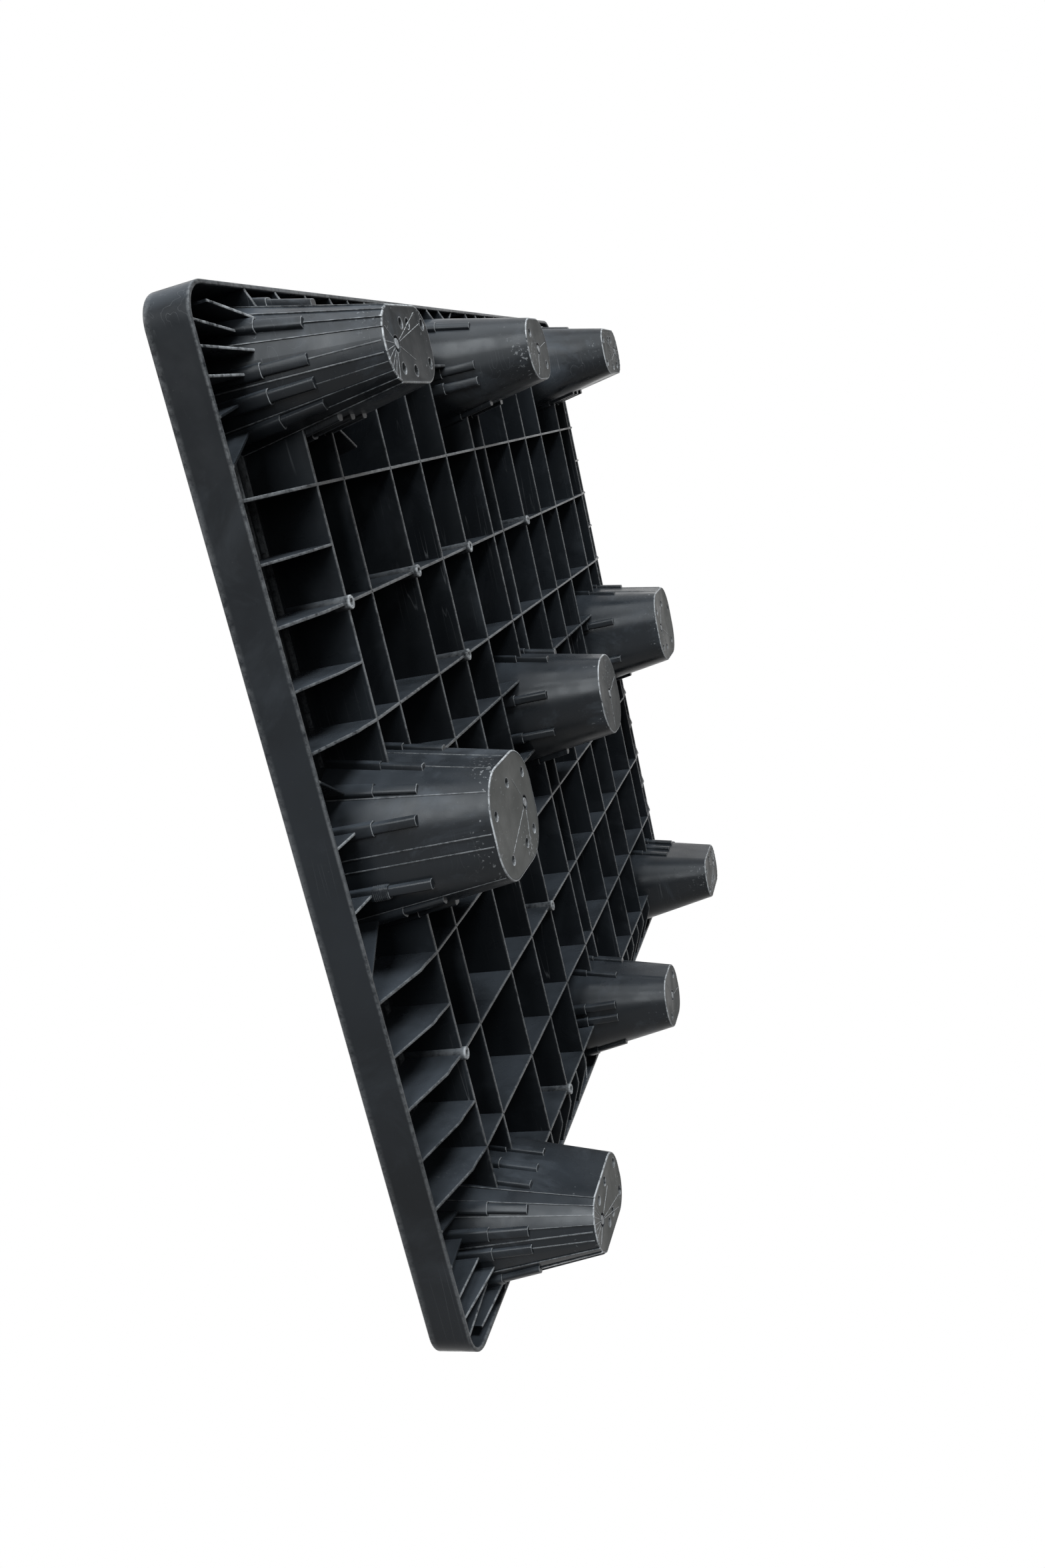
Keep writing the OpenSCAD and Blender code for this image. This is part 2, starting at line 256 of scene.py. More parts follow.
# Turned profiles in the tip: radius, height and wear, where the first ring is scoured with the tip
SCOURED_TOO = None
DRAIN_R = 4.5
DRAIN_STEPS = 20
DRAIN_RINGS = ((DRAIN_R + 1.2, TIP_DISH, SCOURED_TOO), (DRAIN_R + 0.5, TIP_DISH - 0.15, 1.0),
               (DRAIN_R, TIP_DISH + 0.3, 0.7), (DRAIN_R, SKIN - 0.4, 0.2), (DRAIN_R + 0.4, SKIN, 0.0))
GATE_R = 7.0
GATE_STEPS = 28
GATE_DEPTH = 3.0
NUB_R = 4.5
GATE_RINGS = ((GATE_R + 1.0, TIP_DISH, SCOURED_TOO), (GATE_R, TIP_DISH, 0.2), (GATE_R - 0.6, GATE_DEPTH, 0.0),
              (NUB_R + 0.3, GATE_DEPTH, 0.0), (NUB_R, 0.5, 0.6), (NUB_R - 0.5, 0.0, 1.0),
              (NUB_R - 1.4, 0.1, 0.8))
# Drain holes and gate of each kind of foot, from the middle of its tip
DRAINS = {
    CORNER: [(10, 17), (-7, 17), (-44, 17), (26, -20), (-3, -22), (-44, -16)],
    SIDE: [(51, -16), (3, -32), (-47, -27), (33, 33), (-16, 34), (-45, 30)],
    LONG: [(26, -18), (-26, 18)],
    CENTRE: [],
}
GATES = {CORNER: (30, 0), SIDE: (-36, 0), LONG: (0, 0), CENTRE: (0, 0)}


def rounded_ring(length, width, radius, out):
    """Points round a rounded rectangle: four quarter arcs struck from points one radius inside the
    walls, with out added to the radius."""
    turn = np.radians(np.concatenate([np.linspace(q, q + 90, ARC_STEPS + 1) for q in (0, 90, 180, 270)]))
    sign = np.repeat([[1, 1], [-1, 1], [-1, -1], [1, -1]], ARC_STEPS + 1, axis=0)
    centre = sign * [length / 2 - radius, width / 2 - radius]
    return centre + (radius + out) * np.stack([np.cos(turn), np.sin(turn)], 1)


def stave_turns():
    """For a staved outline, at each point: the direction in degrees, the share of the stave's step
    and the wear. A stave starts flush and runs out low, and its flush edge is the one that rubs."""
    width = 90 / STAVES
    starts = np.arange(STAVES)[:, None] * width
    outer = starts + width * np.array([0.0, STAVE_EDGE, 1.0])
    inner = starts + width * np.array([0.0, 1.0 - STAVE_EDGE, 1.0])
    count = 2 * ARC_STEPS + 1
    plain = np.linspace(90, 270, count).repeat(np.where(np.arange(count) == ARC_STEPS, 2, 1))
    turn = np.concatenate([outer.ravel(), plain, 270 + inner.ravel()])
    step = np.concatenate([np.tile([0.0, STAVE_EDGE, 1.0], STAVES), 0 * plain,
                           np.tile([1.0, STAVE_EDGE, 0.0], STAVES)])
    wear = STAVE_WEAR * np.concatenate([np.tile([1.0, 0.0, 0.0], STAVES), 0 * plain,
                                        np.tile([0.0, 0.0, 1.0], STAVES)])
    wear[[0, -1]] = 0.0
    return turn, step, wear


def foot_ring(kind, z, inset=0.0, outside=True):
    """A foot's outline at height z, and the wear of its points: the tip's rounded rectangle grown by
    the draft, less inset, its +Y wall moved out by the lean, and its outer end in staves."""
    length, width, radius, lean, staved = kind
    if not (outside and staved):
        ring = rounded_ring(length, width + lean * z, radius, GROW * z - inset) + [0.0, lean * z / 2]
        return ring, np.zeros(len(ring))
    turn, step, wear = stave_turns()
    half = len(turn) // 2
    sign = np.stack([np.where((turn < 90) | (turn > 270), 1, -1),
                     np.where(np.arange(len(turn)) < half, 1, -1)], 1)
    sign[(turn == 90) & (step > 0), 0] = 1
    sign[(turn == 270) & (step > 0), 0] = 1
    reach = (radius + GROW * z - inset - STAVE_STEP * step)[:, None]
    centre = sign * [length / 2 - radius, (width + lean * z) / 2 - radius] + [0.0, lean * z / 2]
    turn = np.radians(turn)
    return centre + reach * np.stack([np.cos(turn), np.sin(turn)], 1), wear


# Edges that turn more than this are shaded sharp
SHARP_DEGREES = 32.0
# For the triangles over a flat face: fill what lies inside its outline, and merge points this close
INSIDE_ONLY = 1
SAME_POINT = 1e-6


class Skin:
    """Rings of points and the faces that join them, gathered into one mesh. Wear is kept for each
    point: 1 on an edge that rubs, 0 on a face, and below 0 on a foot's tip, the more scoured the lower."""

    def __init__(self):
        self.points, self.wear, self.faces, self.count = [], [], [], 0

    def ring(self, xy, z, wear=0.0):
        """Adds points at xy and height z, and returns their numbers."""
        size = len(xy)
        self.points.append(np.column_stack([xy, np.broadcast_to(z, size)]))
        self.wear.append(np.broadcast_to(wear, size).astype(np.float32))
        self.count += size
        return np.arange(self.count - size, self.count)

    def join(self, a, b):
        """Four-sided faces between two rings of equal size, closed round."""
        self.faces.append(np.stack([a, np.roll(a, -1), np.roll(b, -1), b], 1))

    def stack(self, rings):
        """Each ring joined to the next."""
        for a, b in zip(rings, rings[1:]):
            self.join(a, b)

    def capped(self, rings):
        """Rings joined one to the next, with a flat face over either end."""
        self.stack(rings)
        self.faces += [rings[0][None], rings[-1][None, ::-1]]

    def flat(self, outer, holes=()):
        """Triangles over a flat face between its outer ring and the rings of its holes. A triangle with
        all its corners on one hole fills that hole if it turns the way the hole's ring does."""
        loops = (outer, *holes)
        index = np.concatenate(loops)
        at = np.concatenate(self.points)[index][:, :2]
        sizes = [len(loop) for loop in loops]
        owner = np.repeat(np.arange(len(loops)), sizes)
        first = np.repeat(np.cumsum([0, *sizes[:-1]]), sizes)
        after = first + (np.arange(len(index)) - first + 1) % np.repeat(sizes, sizes)
        edges = list(zip(range(len(index)), after.tolist()))
        _, _, triangles, origins, _, _ = delaunay_2d_cdt([Vector(p) for p in at], edges, [],
                                                         INSIDE_ONLY, SAME_POINT)
        back = np.array([o[0] for o in origins])
        corners = np.sort(back[np.array(triangles)], axis=1)
        a, b, c = at[corners[:, 0]], at[corners[:, 1]], at[corners[:, 2]]
        turn = np.sign(np.cross(b - a, c - a))
        wind = np.array([np.sign(np.cross(at[owner == n], at[after[owner == n]]).sum())
                         for n in range(len(loops))])
        whose = owner[corners]
        fills = (whose == whose[:, :1]).all(1) & (whose[:, 0] > 0) & (turn == wind[whose[:, 0]])
        self.faces.append(index[corners[~fills]])

    def piece(self, name, material):
        """The mesh as an object at the origin, in metres, with its faces turned outwards."""
        mesh = bpy.data.meshes.new(name)
        sizes = np.concatenate([np.full(len(f), f.shape[1]) for f in self.faces])
        corners = np.concatenate([f.ravel() for f in self.faces])
        mesh.vertices.add(self.count)
        mesh.loops.add(len(corners))
        mesh.polygons.add(len(sizes))
        mesh.vertices.foreach_set("co", (np.concatenate(self.points) * MM).astype(np.float32).ravel())
        mesh.loops.foreach_set("vertex_index", corners.astype(np.int32))
        mesh.polygons.foreach_set("loop_start", (np.cumsum(sizes) - sizes).astype(np.int32))
        mesh.polygons.foreach_set("loop_total", sizes.astype(np.int32))
        mesh.update(calc_edges=True)
        field = mesh.attributes.new("wear", "FLOAT", "POINT")
        field.data.foreach_set("value", np.concatenate(self.wear))
        work = bmesh.new()
        work.from_mesh(mesh)
        bmesh.ops.recalc_face_normals(work, faces=work.faces)
        work.to_mesh(mesh)
        work.free()
        mesh.polygons.foreach_set("use_smooth", np.ones(len(mesh.polygons), bool))
        mesh.set_sharp_from_angle(angle=math.radians(SHARP_DEGREES))
        mesh.materials.append(material)
        made = bpy.data.objects.new(name, mesh)
        bpy.context.scene.collection.objects.link(made)
        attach(made, "root")
        return made


def quarter(start, finish, steps=ROUND_STEPS):
    """Pairs of a cosine and a sine round a quarter turn, from start to finish in degrees."""
    turn = np.radians(np.linspace(start, finish, steps + 1))
    return list(zip(np.cos(turn), np.sin(turn)))


def circle(centre, radius, count):
    """Points round a circle."""
    turn = np.linspace(0, 2 * np.pi, count, endpoint=False)
    return np.array(centre) + radius * np.stack([np.cos(turn), np.sin(turn)], 1)


def add_foot(skin, kind, at, sides, scour):
    """Adds one foot's skin, with its drains and its gate, and returns its ring at the deck's underside
    and at the deck's top. Where one sign is turned, rings are laid backwards, so that all turn alike."""
    sides = np.array(sides)
    flip = -1 if sides.prod() < 0 else 1

    def lay(xy, z, wear=0.0):
        return skin.ring((xy * sides + at)[::flip], z, np.broadcast_to(wear, len(xy))[::flip])

    def wall(z, inset=0.0, wear=0.0, outside=True):
        ring, edges = foot_ring(kind, z, inset, outside)
        return lay(ring, z, np.maximum(wear, edges) if z > TIP_ROUND else wear)

    def turned(centre, profile, count):
        rings = [lay(circle(centre, r, count), z, -scour if wear is SCOURED_TOO else wear)
                 for r, z, wear in profile]
        skin.stack(rings)
        return rings[0], rings[-1]

    outer = [wall(z) for z in (UNDER, LIP, LIP / 2, *TIP_WALL, TIP_ROUND + TIP_EASE)]
    outer += [wall(TIP_ROUND * (1 + s), TIP_ROUND * (1 - c), 1.0) for c, s in quarter(0, -90)]
    outer.append(lay(foot_ring(kind, 0.0, TIP_ROUND + TIP_EASE)[0], 0.0, 0.0))
    outer.append(lay(foot_ring(kind, 0.0, TIP_ROUND + TIP_BAND)[0], TIP_DISH, -scour))
    skin.stack(outer)
    inner = [wall(z, SKIN, 0.0, False) for z in (SKIN, SKIN + INNER_BAND, LIP, TOP - MOUTH_BAND)]
    inner += [wall(TOP - MOUTH_ROUND * (1 - s), SKIN - MOUTH_ROUND * (1 - c), MOUTH_WEAR, False)
              for c, s in quarter(0, 90)]
    inner.append(wall(TOP, SKIN - MOUTH_ROUND - TOP_BAND, 0.0, False))
    skin.stack(inner)
    drains = [turned(centre, DRAIN_RINGS, DRAIN_STEPS) for centre in DRAINS[kind]]
    gate_rim, gate_end = turned(GATES[kind], GATE_RINGS, GATE_STEPS)
    skin.flat(gate_end)
    skin.flat(outer[-1], [low for low, _ in drains] + [gate_rim])
    skin.flat(inner[0], [high for _, high in drains])
    return outer[0], inner[-1]


def deck_ring(inset):
    """The deck's outline drawn in by inset."""
    return rounded_ring(2 * HALF_L, 2 * HALF_W, DECK_R, -inset)


shell = Skin()
under_holes, top_holes = [], []
for (foot_kind, foot_at, foot_sides), foot_scour in zip(FEET, SCOUR):
    under_hole, top_hole = add_foot(shell, foot_kind, foot_at, foot_sides, foot_scour)
    under_holes.append(under_hole)
    top_holes.append(top_hole)

rim = [shell.ring(deck_ring(SKIN), z) for z in (UNDER, LIP + LIP_BAND)]
rim += [shell.ring(deck_ring(SKIN - LIP_ROUND * (1 - c)), LIP + LIP_ROUND * (1 + s), LIP_WEAR_INSIDE)
        for c, s in quarter(0, -90)]
rim += [shell.ring(deck_ring(LIP_ROUND * (1 - c)), LIP + LIP_ROUND * (1 + s), LIP_WEAR_OUTSIDE)
        for c, s in quarter(-90, 0)]
rim += [shell.ring(deck_ring(0.0), z) for z in (LIP + LIP_BAND, LIP + RIM_H / 2, TOP - RIM_BAND)]
rim += [shell.ring(deck_ring(TOP_ROUND * (1 - c)), TOP - TOP_ROUND * (1 - s), TOP_WEAR)
        for c, s in quarter(0, 90, TOP_STEPS)]
rim.append(shell.ring(deck_ring(TOP_ROUND + TOP_BAND), TOP, DECK_WEAR))
shell.stack(rim)
shell.flat(rim[0], under_holes)
shell.flat(rim[-1], top_holes)


# Finish. Black polyethylene with a satin mould face: cloudy gloss, fine grain, scuffs and scratches, and
# edges rubbed pale, with painted light on the faces that look to -Y. Every moulded face of the pallet has it.
BLACK_DEEP = (0.0072, 0.0081, 0.0093, 1.0)
BLACK_LIT = (0.0132, 0.0152, 0.0177, 1.0)
RUBBED = (0.380, 0.385, 0.390, 1.0)
SCRATCH = (0.170, 0.175, 0.180, 1.0)
SCOURED = (0.085, 0.084, 0.078, 1.0)
DUST = (0.060, 0.060, 0.058, 1.0)
# Pale bluish stain, also the colour of the painted light on faces that look to -Y
STAIN_AND_PAINTED_LIGHT = (0.066, 0.075, 0.087, 1.0)
# Bands of height in metres, from nothing to all: close to the tips, and on the feet below the rim
NEAR_TIP = (0.035, 0.004)
FOOT_ZONE = (0.110, 0.080)
# Bands of the wear field, from nothing to all: on a tip, and scoured
ON_TIP = (-0.02, -0.25)
SCOURED_BAND = (-0.2, -1.0)
# Bands from nothing to all, for the painted light on faces that look to -Y: how far a face looks to -Y, and
# the place along Y in metres, from the rim's own face inwards
LOOKS_UP = (-0.45, -0.95)
INSIDE_RIM = (-0.499, -0.497)
# Two values each, for everything above the feet and for the feet: stain, painted light on faces that look to
# -Y, specular level
HAZE_SHARE = (0.08, 0.36)
PAINTED_LIGHT_SHARE = (1.0, 0.35)
SPECULAR = (0.112, 0.160)
TIP_DULLER = 0.100
PLASTIC_IOR = 1.5
# Clouds of noise: spots to the metre, detail, roughness of the detail
CLOUD = (4.0, 5.0, 0.55)
HAZE = (11.0, 7.0, 0.66)
PAINTED_LIGHT_CLOUD = (16.0, 5.0, 0.6)
GLOSS_CLOUD = (21.0, 4.0, 0.6)
FLOW = (26.0, 3.0, 0.5)
GRAIN = (700.0, 3.0, 0.6)
SPECK = (420.0, 2.0, 0.5)
FINE_RUB = (160.0, 5.0, 0.7)
COARSE_RUB = (9.0, 3.0, 0.6)
FINE_CHIPS = (260.0, 3.0, 0.6)
COARSE_CHIPS = (14.0, 2.0, 0.5)
SCRATCH_PATCH = (7.0, 3.0, 0.6)
# Scratches: their direction in degrees, how many to the metre, and how thin
FACE_SCRATCHES = ((17.0, 260.0, 0.006), (-58.0, 200.0, 0.005))
TIP_SCRATCHES = ((40.0, 420.0, 0.012), (-25.0, 350.0, 0.010))
TIP_SCRATCH_SHARE = 0.6
# Relief: strength and depth in metres
FLOW_RELIEF = (0.18, 0.0010)
GRAIN_RELIEF = (0.25, 0.00012)
SCRATCH_RELIEF = (0.35, 0.00015)


class Recipe:
    """Short words for wiring a material's nodes."""

    def __init__(self, name):
        self.material = bpy.data.materials.new(name)
        self.material.use_nodes = True
        self.tree = self.material.node_tree
        self.tree.nodes.clear()
        self.shader = self.tree.nodes.new("ShaderNodeBsdfPrincipled")
        out = self.tree.nodes.new("ShaderNodeOutputMaterial")
        self.tree.links.new(self.shader.outputs[0], out.inputs["Surface"])
        self.place = self.tree.nodes.new("ShaderNodeTexCoord").outputs["Object"]

    def set(self, socket, value):
        """Sets a socket to a number or colour, or links it to another node's output."""
        if isinstance(value, bpy.types.NodeSocket):
            self.tree.links.new(value, socket)
        else:
            socket.default_value = value

    def math(self, operation, a, b=0.0, clamp=False):
        """A sum, a product or the like of two values, kept from 0 to 1 with clamp."""
        node = self.tree.nodes.new("ShaderNodeMath")
        node.operation = operation
        node.use_clamp = clamp
        self.set(node.inputs[0], a)
        self.set(node.inputs[1], b)
        return node.outputs[0]

    def split(self, vector):
        """The X, Y and Z of a vector."""
        node = self.tree.nodes.new("ShaderNodeSeparateXYZ")
        self.tree.links.new(vector, node.inputs[0])
        return node.outputs

    def turned(self, degrees, stretch):
        """Object coordinates turned by degrees about Z, then stretched along each axis."""
        node = self.tree.nodes.new("ShaderNodeMapping")
        node.inputs["Rotation"].default_value = (0.0, 0.0, math.radians(degrees))
        node.inputs["Scale"].default_value = stretch
        self.tree.links.new(self.place, node.inputs["Vector"])
        return node.outputs[0]

    def noise(self, scale, detail, rough, at=None, bend=0.0):
        """Cloudy noise, scale to the metre, over the object or over the coordinates at."""
        node = self.tree.nodes.new("ShaderNodeTexNoise")
        node.inputs["Scale"].default_value = scale
        node.inputs["Detail"].default_value = detail
        node.inputs["Roughness"].default_value = rough
        node.inputs["Distortion"].default_value = bend
        self.tree.links.new(self.place if at is None else at, node.inputs["Vector"])
        return node.outputs["Fac"]

    def band(self, value, low, high, to_low=0.0, to_high=1.0):
        """Value read on a new scale: low gives to_low, high gives to_high, and it stops there."""
        node = self.tree.nodes.new("ShaderNodeMapRange")
        node.inputs["From Min"].default_value = low
        node.inputs["From Max"].default_value = high
        node.inputs["To Min"].default_value = to_low
        node.inputs["To Max"].default_value = to_high
        self.tree.links.new(value, node.inputs["Value"])
        return node.outputs[0]

    def blend(self, share, a, b):
        """Colour a, with share of colour b laid over it."""
        node = self.tree.nodes.new("ShaderNodeMix")
        node.data_type = "RGBA"
        self.set(node.inputs["Factor"], share)
        self.set(node.inputs["A"], a)
        self.set(node.inputs["B"], b)
        return node.outputs["Result"]

    def bump(self, height, strength, depth, under=None):
        """Relief of this depth in metres, over the normal of the relief under it."""
        node = self.tree.nodes.new("ShaderNodeBump")
        node.inputs["Strength"].default_value = strength
        node.inputs["Distance"].default_value = depth
        self.tree.links.new(height, node.inputs["Height"])
        if under is not None:
            self.tree.links.new(under, node.inputs["Normal"])
        return node.outputs[0]

    def scratches(self, degrees, scale, thin):
        """Thin broken lines: noise drawn out long one way, kept only near its middle value, in patches."""
        line = self.noise(scale, 1.0, 0.4, self.turned(degrees, (1.0, 0.012, 0.4)))
        thread = self.band(self.math("ABSOLUTE", self.math("SUBTRACT", line, 0.5)), thin, 0.0)
        patch = self.band(self.noise(*SCRATCH_PATCH, self.turned(degrees, (1.0, 0.7, 1.0))), 0.56, 0.72)
        return self.math("MULTIPLY", thread, patch)


def scratch_lines(r, tip):
    """Fine scratches two ways over every face, and closer ones two ways over the tips."""
    lines = r.math("MAXIMUM", *(r.scratches(*way) for way in FACE_SCRATCHES))
    closer = r.math("MAXIMUM", *(r.scratches(*way) for way in TIP_SCRATCHES))
    return r.math("MAXIMUM", lines, r.math("MULTIPLY", r.math("MULTIPLY", tip, TIP_SCRATCH_SHARE), closer))


def rubbed_edges(r, wear):
    """The mesh's wear, broken up by coarse and fine noise."""
    rub = r.math("ADD", r.noise(*FINE_RUB), r.math("MULTIPLY", r.noise(*COARSE_RUB), 0.5))
    return r.math("MULTIPLY", wear, r.band(rub, 0.58, 0.85), clamp=True)


def tip_chips(r):
    """Small pale chips on the walls close to the tips, in patches."""
    chips = r.math("ADD", r.noise(*FINE_CHIPS), r.math("MULTIPLY", r.noise(*COARSE_CHIPS), 0.5))
    return r.math("MULTIPLY", r.band(chips, 0.92, 0.96, 0.0, 0.4), r.band(r.split(r.place)["Z"], *NEAR_TIP))


def painted_light_minus_y(r, foot):
    """Painted light: faces that look to -Y, towards the lamps on that side, are painted paler in clouds, as
    if lit from there. The feet have less of it, and the rim's own face has none."""
    normal = r.tree.nodes.new("ShaderNodeNewGeometry").outputs["Normal"]
    share = r.math("MULTIPLY", r.band(r.split(normal)["Y"], *LOOKS_UP),
                   r.band(r.split(r.place)["Y"], *INSIDE_RIM))
    share = r.math("MULTIPLY", share, r.band(r.noise(*PAINTED_LIGHT_CLOUD), 0.35, 0.60, 0.18, 0.40))
    return r.math("MULTIPLY", share, r.band(foot, 0.0, 1.0, *PAINTED_LIGHT_SHARE))


def moulded_black():
    """Satin black with cloudy gloss, grain, scratches, wear where the mesh's wear field is high, and painted
    light on faces that look to -Y.
    """
    r = Recipe("moulded_black")
    wear_field = r.tree.nodes.new("ShaderNodeAttribute")
    wear_field.attribute_name = "wear"
    wear = wear_field.outputs["Fac"]
    tip = r.band(wear, *ON_TIP)
    scour = r.band(wear, *SCOURED_BAND)
    foot = r.band(r.split(r.place)["Z"], *FOOT_ZONE)
    cloud = r.noise(*CLOUD)
    haze = r.band(r.noise(*HAZE, bend=0.6), 0.52, 0.67)
    speck = r.band(r.noise(*SPECK), 0.71, 0.76)
    lines = scratch_lines(r, tip)
    worn = rubbed_edges(r, wear)

    colour = r.blend(r.band(cloud, 0.38, 0.66), BLACK_DEEP, BLACK_LIT)
    colour = r.blend(r.math("MULTIPLY", haze, r.band(foot, 0.0, 1.0, *HAZE_SHARE)), colour, STAIN_AND_PAINTED_LIGHT)
    # Painted light: faces that look to -Y are painted paler in clouds, as if lit from that side
    colour = r.blend(painted_light_minus_y(r, foot), colour, STAIN_AND_PAINTED_LIGHT)
    colour = r.blend(r.math("MULTIPLY", speck, 0.20), colour, DUST)
    colour = r.blend(r.math("MULTIPLY", scour, r.band(haze, 0.0, 1.0, 0.85, 1.0)), colour, SCOURED)
    colour = r.blend(r.math("MULTIPLY", lines, 0.60), colour, SCRATCH)
    colour = r.blend(r.math("MULTIPLY", r.math("MAXIMUM", worn, tip_chips(r)), 0.85), colour, RUBBED)
    r.set(r.shader.inputs["Base Color"], colour)

    rough = r.math("ADD", r.band(cloud, 0.34, 0.68, 0.37, 0.24), r.math("MULTIPLY", haze, 0.12))
    rough = r.math("ADD", rough, r.band(r.noise(*GLOSS_CLOUD), 0.40, 0.62, -0.08, 0.08))
    rough = r.math("ADD", rough, r.math("MULTIPLY", r.math("MAXIMUM", worn, tip), 0.20), clamp=True)
    r.set(r.shader.inputs["Roughness"], rough)
    sheen = r.math("SUBTRACT", r.band(foot, 0.0, 1.0, *SPECULAR), r.math("MULTIPLY", tip, TIP_DULLER))
    r.set(r.shader.inputs["Specular IOR Level"], sheen)
    r.set(r.shader.inputs["IOR"], PLASTIC_IOR)

    normal = r.bump(r.noise(*FLOW, r.turned(20.0, (1.0, 0.35, 1.0))), *FLOW_RELIEF)
    normal = r.bump(r.noise(*GRAIN), *GRAIN_RELIEF, normal)
    normal = r.bump(r.math("MULTIPLY", lines, -1.0), *SCRATCH_RELIEF, normal)
    r.set(r.shader.inputs["Normal"], normal)
    return r.material


black = moulded_black()
shell_piece = shell.piece("moulded_shell", black)
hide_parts("pallet")


# Ribs. The lattice under the deck is moulded with it: thin walls, thicker at their root, whose lower
# edges lie 20 mm below the lip and rise to it at the four sides.
RIB_T = 3.0
RIB_DRAFT = 0.008
RIB_DROP = 20.0
RIB_LOW = LIP - RIB_DROP
# Places of the main ribs, outwards from the middle of the deck. Short ribs run from the last of them to
# the rim, half way between two others
RIB_X = (22.0, 132.5, 222.0, 313.0, 434.0, 494.0)
RIB_Y = (45.0, 116.0, 224.0, 328.5, 427.0)
SHORT_Y = ((RIB_Y[1] + RIB_Y[2]) / 2, (RIB_Y[2] + RIB_Y[3]) / 2)
# The last short rib stands nearer the middle by this much, clear of the corner feet's hollows
SHORT_CLEAR = 3.0
SHORT_X = ((RIB_X[1] + RIB_X[2]) / 2, (RIB_X[2] + RIB_X[3]) / 2, (RIB_X[3] + RIB_X[4]) / 2 - SHORT_CLEAR)
THIN_RIB_T = 2.5
# The lower edges rise over these lengths to RISE above the lip. Along the length they rise in two runs
# with a level stretch between: where it starts and ends, and how far down it lies, as shares
SLOPE_X = 100.0
SLOPE_Y = 50.0
KNEE = (0.64, 0.74, 0.85)
RISE = 1.0
# The section of a rib: its rounded lower edge, the height where it grows to its root, and how far its
# root is let into the deck
EDGE_R = 0.7
EDGE_BULGE = 0.3
EDGE_BAND = 0.8
FLANK_H = 9.0
FLANK_OUT = 0.1
ROOT = 1.5
RIB_RUB = 0.30
# Ribs are rubbed where their edge lies below this height
RUBBED_BELOW = LIP + 3.0
STATION = 6.0
INTO_WALL = 2.0
NARROWEST_GAP = 1.0


def lower_edge(x, y):
    """Height of the ribs' lower edge at x, y: the higher of two straight-line profiles, one across
    the length with a short level stretch, and one across the width."""
    in_x = HALF_L - SKIN - np.abs(x)
    in_y = HALF_W - SKIN - np.abs(y)
    runs = [0.0, KNEE[0] * SLOPE_X, KNEE[1] * SLOPE_X, SLOPE_X]
    drops = [0.0, KNEE[2] * RIB_DROP, KNEE[2] * RIB_DROP, RIB_DROP]
    by_x = LIP + RISE - np.interp(in_x, runs, np.array(drops) + [0.0, RISE, RISE, RISE])
    by_y = LIP + RISE - np.interp(in_y, [0.0, SLOPE_Y], [0.0, RIB_DROP + RISE])
    return np.maximum(by_x, by_y)


def add_wall(skin, start, along, ends_low, ends_high, thick, rub=RIB_RUB, edge=None):
    """A rib from end to end along a straight line. Its ends lie at ends_low at the ribs' level and at
    ends_high at the deck, so they follow the feet's slanted walls. Its section is carried along it.
    Its lower edge follows the ribs' own profile, or edge, which is pairs of a share and a height."""
    start, along = np.array(start, float), np.array(along, float)
    side = np.array([-along[1], along[0]])
    count = max(2, int(np.ceil((ends_low[1] - ends_low[0]) / STATION)) + 1)
    share = np.linspace(0, 1, count)
    s_low = ends_low[0] + share * (ends_low[1] - ends_low[0])
    s_high = ends_high[0] + share * (ends_high[1] - ends_high[0])
    foot = start + s_low[:, None] * along
    low = lower_edge(foot[:, 0], foot[:, 1]) if edge is None else np.interp(share, *edge)
    half = thick / 2
    root = half + RIB_DRAFT * (UNDER - RIB_LOW)
    # Offset to the side, height above the lower edge and wear, from the deck down to the edge
    bulge = EDGE_BULGE * EDGE_R
    shape = [(root, None, 0.0), (half + FLANK_OUT, FLANK_H, 0.0), (half, EDGE_R + EDGE_BAND, 0.0),
             (half, EDGE_R, 0.5 * rub), (half - bulge, bulge, rub), (half - EDGE_R, 0.0, 0.9 * rub)]
    shape += [(-o, h, w) for o, h, w in shape[::-1]]
    columns = []
    for offset, rise, wear in shape:
        z = np.full(count, UNDER + ROOT) if rise is None else np.minimum(low + rise, UNDER)
        lift = (z - RIB_LOW) / (UNDER - RIB_LOW)
        s = s_low + lift * (s_high - s_low)
        columns.append((start + s[:, None] * along + offset * side, z, wear))
    rings = [skin.ring(np.array([c[0][i] for c in columns]), np.array([c[1][i] for c in columns]),
                       np.array([c[2] for c in columns]) * (low[i] < RUBBED_BELOW)) for i in range(count)]
    skin.capped(rings)


def half_reach(kind, off, z, outer):
    """How far a foot's outline reaches either way along a line that passes off from its middle,
    for a line along X (outer is None) or along Y (outer is the sign of its outer wall)."""
    length, width, radius, lean, _ = kind
    grown = radius + GROW * z
    if outer is None:
        shift = lean * z if off > 0 else 0.0
        past = max(0.0, abs(off - shift) - (width / 2 - radius))
        reach = length / 2 - radius + math.sqrt(max(0.0, grown**2 - past**2))
        return reach, reach
    past = max(0.0, abs(off) - (length / 2 - radius))
    reach = width / 2 - radius + math.sqrt(max(0.0, grown**2 - past**2))
    return reach, reach + lean * z


